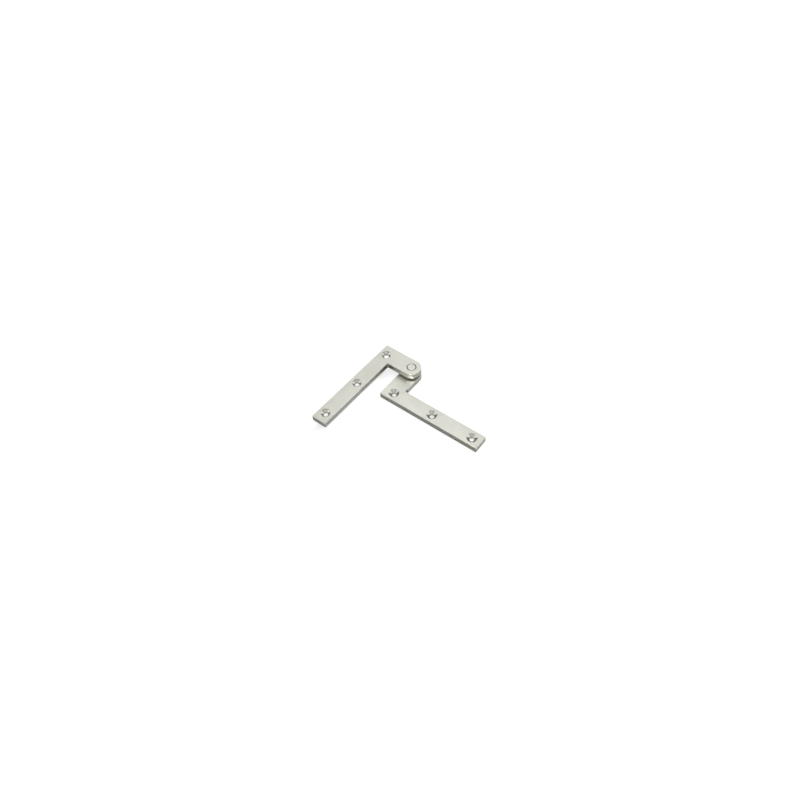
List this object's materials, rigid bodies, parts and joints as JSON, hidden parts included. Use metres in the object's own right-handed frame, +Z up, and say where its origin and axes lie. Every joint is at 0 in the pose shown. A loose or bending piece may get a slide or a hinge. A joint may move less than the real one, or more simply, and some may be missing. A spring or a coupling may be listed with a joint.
{
  "type": "offset pivot hinge",
  "caption": "Offset pivot hinge: two flat L-shaped leaves with countersunk screw holes turn one over the other on a flush pin, with a ball thrust bearing in the gap between them.",
  "frame": {"origin": "on the pivot pin's axis, in the plane of the lower leaf's underside", "axes": "+Z up along the pivot pin, from the lower leaf to the upper one; +X along the lower leaf's long arm, away from its elbow; the upper leaf's long arm runs along -Y"},
  "size_m": [0.1397, 0.1111, 0.0149],
  "materials": {
    "satin_nickel": "satin nickel plate, fine grain",
    "pin_nickel": "satin nickel plate, turned",
    "bearing_steel": "ground and hardened",
    "ball_steel": "polished",
    "cage_steel": "pressed sheet, tumbled bright"
  },
  "bodies": {
    "lower": {"lower_leaf": "satin_nickel", "pivot_pin": "pin_nickel", "lower_race": "bearing_steel"},
    "upper": {"upper_leaf": "satin_nickel", "upper_race": "bearing_steel"},
    "ball_set": {"ball_cage": "cage_steel", "ball_01": "ball_steel", "ball_02": "ball_steel", "ball_03": "ball_steel", "ball_04": "ball_steel", "ball_05": "ball_steel", "ball_06": "ball_steel", "ball_07": "ball_steel", "ball_08": "ball_steel", "ball_09": "ball_steel", "ball_10": "ball_steel"}
  },
  "joints": [
    {"name": "leaf_swing", "type": "hinge", "parent": "lower", "child": "upper", "pos_m": [0, 0, 0.00743], "axis": [0, 0, 1], "continuous": true},
    {"name": "cage_roll", "type": "hinge", "parent": "lower", "child": "ball_set", "pos_m": [0, 0, 0.00743], "axis": [0, 0, 1], "continuous": true}
  ],
  "couplings": [
    {"joint": "cage_roll", "follows": "leaf_swing", "ratio": 0.5}
  ]
}
